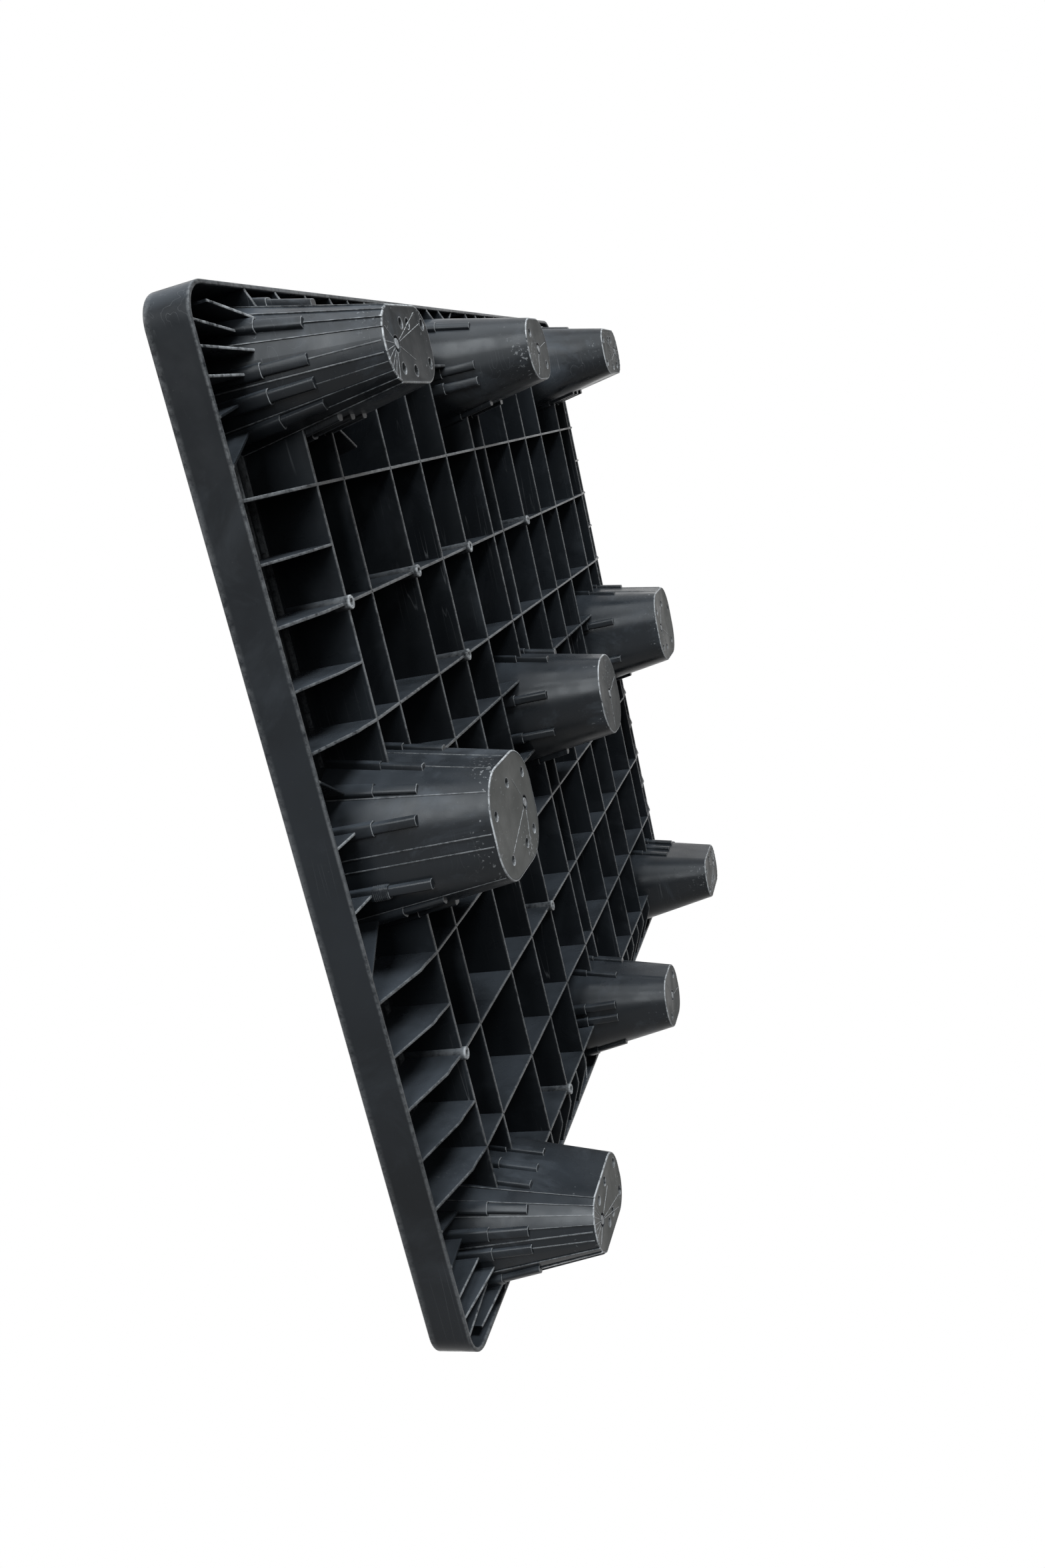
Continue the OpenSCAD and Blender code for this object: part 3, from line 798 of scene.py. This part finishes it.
def gaps_between_feet(line, horizontal, limit):
    """The stretches of a rib that lie between the feet it meets: pairs of ends at the ribs' level
    and at the deck. A rib along X stops at the foot that stands before the short side."""
    cuts = []
    for kind, at, sides in FEET:
        off = (line - at[1]) * sides[1] if horizontal else (line - at[0]) * sides[0]
        widest = (kind[1] if horizontal else kind[0]) / 2 + GROW * LIP
        if abs(off) > widest:
            continue
        spans = []
        for z in (RIB_LOW, UNDER):
            back, ahead = half_reach(kind, off, z, None if horizontal else sides[1])
            if not horizontal and sides[1] < 0:
                back, ahead = ahead, back
            middle = at[0] if horizontal else at[1]
            spans.append((middle - back + INTO_WALL, middle + ahead - INTO_WALL))
        cuts.append(spans)
    cuts.sort(key=lambda spans: spans[0][0])
    edge = limit - SKIN / 2
    starts = [(-edge, -edge)] + [(low[1], high[1]) for low, high in cuts]
    stops = [(low[0], high[0]) for low, high in cuts] + [(edge, edge)]
    gaps = [((a[0], b[0]), (a[1], b[1])) for a, b in zip(starts, stops) if b[1] - a[1] > NARROWEST_GAP]
    return gaps[1:-1] if horizontal and len(cuts) > 1 else gaps


lattice = Skin()
for rib in sorted(s * y for y in RIB_Y for s in (-1, 1)):
    for ends_low, ends_high in gaps_between_feet(rib, True, HALF_L):
        add_wall(lattice, (0.0, rib), (1.0, 0.0), ends_low, ends_high, RIB_T)
for rib in sorted(s * x for x in RIB_X for s in (-1, 1)):
    for ends_low, ends_high in gaps_between_feet(rib, False, HALF_W):
        add_wall(lattice, (rib, 0.0), (0.0, 1.0), ends_low, ends_high, RIB_T)
for sx in (-1, 1):
    for sy in (-1, 1):
        for y in SHORT_Y:
            ends = (RIB_X[-1], HALF_L - SKIN / 2)
            add_wall(lattice, (0.0, sy * y), (sx, 0.0), ends, ends, THIN_RIB_T)
        for x in SHORT_X:
            ends = (RIB_Y[-1], HALF_W - SKIN / 2)
            add_wall(lattice, (sx * x, 0.0), (0.0, sy), ends, ends, THIN_RIB_T)
lattice.piece("rib_lattice", black)


# Tip lines. Fine raised lines run out from the gates over the tips, where streams of plastic met.
LINE_HALF = 0.45
# The crest's share of the width, how deep the root lies in the tip, the crest's height above the floor,
# and the space between the gate and a line
LINE_CREST = 0.4
LINE_ROOT = 0.4
LINE_FLUSH = 0.02
LINE_GAP = 0.5
# Ends of the lines of each kind of foot, from the middle of its tip
TIP_LINES = {
    CORNER: [(-29, 27), (-38, 18), (58, -6), (57, -13), (53, -20), (48, -25), (41, -29), (56, 2), (50, 14),
             (-8, -13)],
    SIDE: [(29, 28), (-13, -30), (-24, 44)],
    LONG: [(38, 8), (-20, -30)],
    CENTRE: [(42, -12), (-8, 45)],
}


def add_tip_line(skin, start, end, at, sides):
    """A low bar with a narrow crest along a straight line on a tip, let into the tip's face."""
    start, end = np.array(start, float), np.array(end, float)
    along = (end - start) / np.linalg.norm(end - start)
    across = np.array([-along[1], along[0]])
    offset = LINE_HALF * np.array([-1.0, -LINE_CREST, LINE_CREST, 1.0])
    heights = np.array([TIP_DISH + LINE_ROOT, LINE_FLUSH, LINE_FLUSH, TIP_DISH + LINE_ROOT])
    skin.capped([skin.ring((spot + offset[:, None] * across) * sides + at, heights, 1.0)
                 for spot in (start, end)])


tip_lines = Skin()
for foot_kind, foot_at, foot_sides in FEET:
    for end in TIP_LINES[foot_kind]:
        gate_at = np.array(GATES[foot_kind], float)
        out = (np.array(end) - gate_at) / np.linalg.norm(np.array(end) - gate_at)
        add_tip_line(tip_lines, gate_at + (GATE_R + LINE_GAP) * out, end, foot_at, foot_sides)
tip_lines.piece("tip_weld_lines", black)


# Seams. Fine raised seams run the full height of the corner and side feet, where parts of the mould met.
# A seam is a narrow bar on the wall, made as the pads and their knurl are.
SEAM_R = 0.7
SEAM_LOW = 3.0
SEAM_RUB = 0.25
# A bar on a foot's wall: how far it stands out, as a share of its radius, the power that squares its
# shoulders, how deep its back lies in the wall, and the points of its section
BAR_STAND = 0.8
BAR_SQUARE = 0.6
BAR_ROOT = 3.0
BAR_POINTS = 13
# The cut lower end of a bar: the size of its face and of its bevel as shares, the bevel's height, and
# the wear of the bevel
BAR_FACE = 0.82
BAR_BEVEL = 0.93
BAR_CHAMFER = 0.3
BAR_END_RUB = 0.5


def on_end(kind, side, y):
    """A place on a foot's end wall, at y: its X and Y at the tip, its direction and the wall's lean."""
    return (side * kind[0] / 2, y, 0.0 if side > 0 else 180.0, 0.0)


def on_flank(kind, side, x):
    """A place on a foot's long wall, at x."""
    return (x, side * kind[1] / 2, side * 90.0, kind[3] if side > 0 else 0.0)


def on_corner(kind, sx, sy, degrees):
    """A place on a foot's rounded corner, this many degrees from the X axis."""
    c, s = math.cos(math.radians(degrees)), math.sin(math.radians(degrees))
    return (sx * (kind[0] / 2 - kind[2] + kind[2] * c), sy * (kind[1] / 2 - kind[2] + kind[2] * s),
            math.degrees(math.atan2(sy * s, sx * c)), kind[3] if sy > 0 else 0.0)


def up_wall(place, z):
    """The place on a foot's wall, followed up its draft and lean to height z."""
    x, y, degrees, lean = place
    turn = math.radians(degrees)
    return np.array([x + GROW * z * math.cos(turn), y + (GROW * math.sin(turn) + lean) * z])


def add_bar(skin, place, at, sides, radius, z_low, z_high, rub=0.0, end_rub=BAR_END_RUB):
    """A bar carried up the wall: its section is half a round with squarer shoulders, cosine and sine
    raised to a power, with its back in the wall. Its lower end is cut off with a small bevel."""
    turn = math.radians(place[2])
    out, across = np.array([math.cos(turn), math.sin(turn)]), np.array([-math.sin(turn), math.cos(turn)])
    sweep = np.radians(np.linspace(-90, 90, BAR_POINTS))
    across_share = np.sign(sweep) * np.abs(np.sin(sweep)) ** BAR_SQUARE
    shape = radius * np.stack([BAR_STAND * np.abs(np.cos(sweep)) ** BAR_SQUARE, across_share], 1)
    shape = np.concatenate([[[-BAR_ROOT, -radius]], shape, [[-BAR_ROOT, radius]]])
    rings = []
    bevel = min(BAR_CHAMFER, (z_high - z_low) / 4)
    for z, share, wear in ((z_low, BAR_FACE, rub), (z_low, BAR_BEVEL, end_rub), (z_low + bevel, 1.0, end_rub),
                           (z_low + 2 * bevel, 1.0, rub), (z_high, 1.0, rub)):
        ring = up_wall(place, z) + share * shape[:, :1] * out + share * shape[:, 1:] * across
        rings.append(skin.ring(ring * sides + at, z, wear))
    skin.capped(rings)


SEAMS = {
    CORNER: [on_end(CORNER, 1, y) for y in (3.0, -6.5)],
    SIDE: [on_end(SIDE, 1, y) for y in (-5, 7)] + [on_corner(SIDE, 1, s, 43) for s in (1, -1)]
    + [on_flank(SIDE, s, x) for s in (1, -1) for x in (28, -10)],
}

seams = Skin()
for foot_kind, foot_at, foot_sides in FEET:
    for place in SEAMS.get(foot_kind, ()):
        add_bar(seams, place, foot_at, foot_sides, SEAM_R, SEAM_LOW, UNDER, SEAM_RUB)
seams.piece("foot_seams", black)


# Knurl. The thick part of one pad on each side foot has fine rings round it, drawn as thin slices that
# stand a little proud of the pad.
KNURLED = on_end(SIDE, 1, 30)
# The thick part of a pad: its radius and its lower end
PAD_R = 6.8
PAD_LOW = LIP - 14.0
KNURL_R = PAD_R + 0.5
KNURL_STEP = 1.7
KNURL_W = 0.8
KNURL_RUB = 0.2
KNURL_FROM = PAD_LOW + 1.5
KNURL_TO = LIP + 1.0

knurl = Skin()
for foot_kind, foot_at, foot_sides in FEET:
    if foot_kind == SIDE:
        for low in np.arange(KNURL_FROM, KNURL_TO, KNURL_STEP):
            add_bar(knurl, KNURLED, foot_at, foot_sides, KNURL_R, low, low + KNURL_W, 0.0, KNURL_RUB)
knurl.piece("knurled_pad", black)


# Pads. Half-round pads run down the feet's walls in two steps, thick beside the ribs and thin below
# them. Some carry a gusset.
THIN_PAD_R = 5.0
THIN_PAD_LOW = LIP - 53.0
PAD_OVERLAP = 2.0
# The gussets of the corner, side and long feet. For each: its place on the wall, how far to the side its
# rim end lies, the height of its lower edge at the foot, how far short of the rim it stops, and whether
# it has a pad
CORNER_GUSSETS = [
    (on_corner(CORNER, 1, 1, 50), 12.0, 105.0, 34.0, False),
    (on_corner(CORNER, 1, 1, 36), 6.0, 118.0, 0.0, True),
    (on_corner(CORNER, 1, 1, 12), 4.0, 106.0, 0.0, False),
    (on_end(CORNER, 1, 3), 0.0, 116.0, 0.0, True),
    (on_corner(CORNER, 1, -1, 16), -11.0, 130.0, 0.0, True),
    (on_corner(CORNER, 1, -1, 46), -30.0, 133.0, 0.0, True),
]
SIDE_GUSSETS = [gusset for s in (1, -1) for gusset in (
    (on_corner(SIDE, 1, s, 50), s * 34.0, 129.0, 0.0, True),
    (on_end(SIDE, 1, s * 30), 0.0, 118.0, 0.0, True))]
LONG_GUSSETS = [(on_corner(LONG, s, 1, 50), s * 30.0, 122.0, 0.0, True) for s in (1, -1)]
PADS = {
    CORNER: [g[0] for g in CORNER_GUSSETS if g[4]] + [on_flank(CORNER, -1, x) for x in (33, 5, -23)]
    + [on_flank(CORNER, 1, 30)],
    SIDE: [g[0] for g in SIDE_GUSSETS] + [on_flank(SIDE, s, x) for s in (1, -1) for x in (32, -27)]
    + [on_end(SIDE, -1, y) for y in (30, -30)],
    LONG: [g[0] for g in LONG_GUSSETS] + [on_end(LONG, s, y) for s in (1, -1) for y in (-3, -21)]
    + [on_flank(LONG, -1, x) for x in (22, -22)],
    CENTRE: [p for s in (1, -1) for p in (on_flank(CENTRE, s, 20), on_flank(CENTRE, s, -20),
                                          on_end(CENTRE, s, 24), on_end(CENTRE, s, -24))],
}

pads = Skin()
for foot_kind, foot_at, foot_sides in FEET:
    for place in PADS[foot_kind]:
        add_bar(pads, place, foot_at, foot_sides, THIN_PAD_R, THIN_PAD_LOW, PAD_LOW + PAD_OVERLAP)
        add_bar(pads, place, foot_at, foot_sides, PAD_R, PAD_LOW, UNDER + ROOT)
pads.piece("foot_pads", black)


# Gussets. Thin gussets fan out from the feet to the rim, and one short one stands behind the nearest
# corner foot. Where they meet a foot most of them land on a pad.
GUSSET_T = 2.5
GUSSET_RUB = 0.7
GUSSET_RISE = 1.5
# The gussets of each kind of foot, and whether they run to the rim along X (0) or along Y (1)
FANS = {CORNER: (CORNER_GUSSETS, 0), SIDE: (SIDE_GUSSETS, 0), LONG: (LONG_GUSSETS, 1), CENTRE: ([], 0)}
INNER_GUSSET = on_corner(CORNER, -1, -1, 80)
INNER_GUSSET_TURN = 207.0
INNER_GUSSET_L = 48.0
INNER_GUSSET_EDGE = ([0.0, 0.8, 1.0], [98.0, 98.0, UNDER - 4.0])


def add_gusset(skin, place, at, sides, end, edge):
    """A gusset from a place on a foot's wall to a point end, both in the foot's own directions. Its
    foot end follows the wall's draft: the wall's way outwards, over the cosine to the gusset."""
    start_low, start_high = up_wall(place, RIB_LOW), up_wall(place, UNDER)
    along = end - start_low
    length = np.linalg.norm(along)
    along /= length
    turn = math.radians(place[2])
    out = np.array([math.cos(turn), math.sin(turn)])
    lead = float((start_high - start_low) @ out) / float(along @ out)
    add_wall(skin, start_low * sides + at, along * sides, (-INTO_WALL, length), (lead - INTO_WALL, length),
             GUSSET_T, GUSSET_RUB, edge)


gussets = Skin()
for foot_kind, foot_at, foot_sides in FEET:
    rim_at = np.array([HALF_L, HALF_W]) - SKIN / 2 - np.abs(foot_at)
    fan, axis = FANS[foot_kind]
    for place, aside, foot_z, short, _ in fan:
        end = up_wall(place, LIP)
        end[1 - axis] += aside
        end[axis] = rim_at[axis] - short
        add_gusset(gussets, place, foot_at, foot_sides, end, ([0.0, 1.0], [foot_z, LIP + GUSSET_RISE]))
    if foot_kind == CORNER and max(foot_at) < 0:
        turn = math.radians(INNER_GUSSET_TURN)
        end = up_wall(INNER_GUSSET, LIP) + INNER_GUSSET_L * np.array([math.cos(turn), math.sin(turn)])
        add_gusset(gussets, INNER_GUSSET, foot_at, foot_sides, end, INNER_GUSSET_EDGE)
gussets.piece("rim_gussets", black)


# Beads. A low bead runs across each end field of the deck's underside, broken at the ribs.
BEAD_X = 512.0
BEAD_HALF = 1.2
BEAD_H = 3.0
# The bead's section: shares of its half width and of its height, from root to root
BEAD_SECTION = ((-1.3, -0.4), (-1.0, 0.5), (-0.5, 1.0), (0.5, 1.0), (1.0, 0.5), (1.3, -0.4))
BEAD_RUB = 0.2
BEAD_GAP = 6.0
# What breaks the bead: the side foot's wall, where it meets the deck, and the ribs
FOOT_STOP = 78.0
BEAD_STOPS = sorted((FOOT_STOP, *RIB_Y[1:4], *SHORT_Y))

beads = Skin()
offset, drop = np.array(BEAD_SECTION).T * [[BEAD_HALF], [BEAD_H]]
for sx, sy in ((-1, -1), (-1, 1), (1, -1), (1, 1)):
    for near, far in zip(BEAD_STOPS, BEAD_STOPS[1:]):
        ends = [np.stack([sx * BEAD_X + offset, np.full(len(offset), sy * y)], 1)
                for y in (near + BEAD_GAP, far - BEAD_GAP)]
        beads.capped([beads.ring(end, UNDER - drop, BEAD_RUB) for end in ends])
beads.piece("deck_beads", black)


# Ejector bosses. Small rings on rib crossings, where pins pushed the pallet out of its mould.
BOSS_R = 6.5
BORE_R = 3.0
# How far a boss stands out below the ribs' lower edge
BOSS_OUT = 4.0
BOSS_END = RIB_LOW - BOSS_OUT
BOSS_ROUND = 0.6
BOSS_BAND = 2.5
BOSS_STEPS = 28
# The ribs that cross at each boss, numbered from the middle of the deck, with the side as their sign
BOSSES = ((-6, -3), (-4, -3), (-3, -2), (-2, -3), (2, -3), (-6, 3), (-2, 3), (-3, 5))


def add_boss(skin, at):
    """A turned ring: its profile goes down the outside, round the end and up the bore."""
    profile = ((BOSS_R, UNDER + ROOT, 0.0), (BOSS_R, BOSS_END + BOSS_BAND, 0.2),
               (BOSS_R, BOSS_END + BOSS_ROUND, 0.8), (BOSS_R - BOSS_ROUND, BOSS_END, 1.0),
               (BORE_R + BOSS_ROUND, BOSS_END, 1.0), (BORE_R, BOSS_END + BOSS_ROUND, 0.8),
               (BORE_R, RIB_LOW + BOSS_OUT, 0.0))
    skin.capped([skin.ring(circle(at, radius, BOSS_STEPS), z, wear) for radius, z, wear in profile])


bosses = Skin()
for nx, ny in BOSSES:
    add_boss(bosses, (math.copysign(RIB_X[abs(nx) - 1], nx), math.copysign(RIB_Y[abs(ny) - 1], ny)))
bosses.piece("ejector_bosses", black)
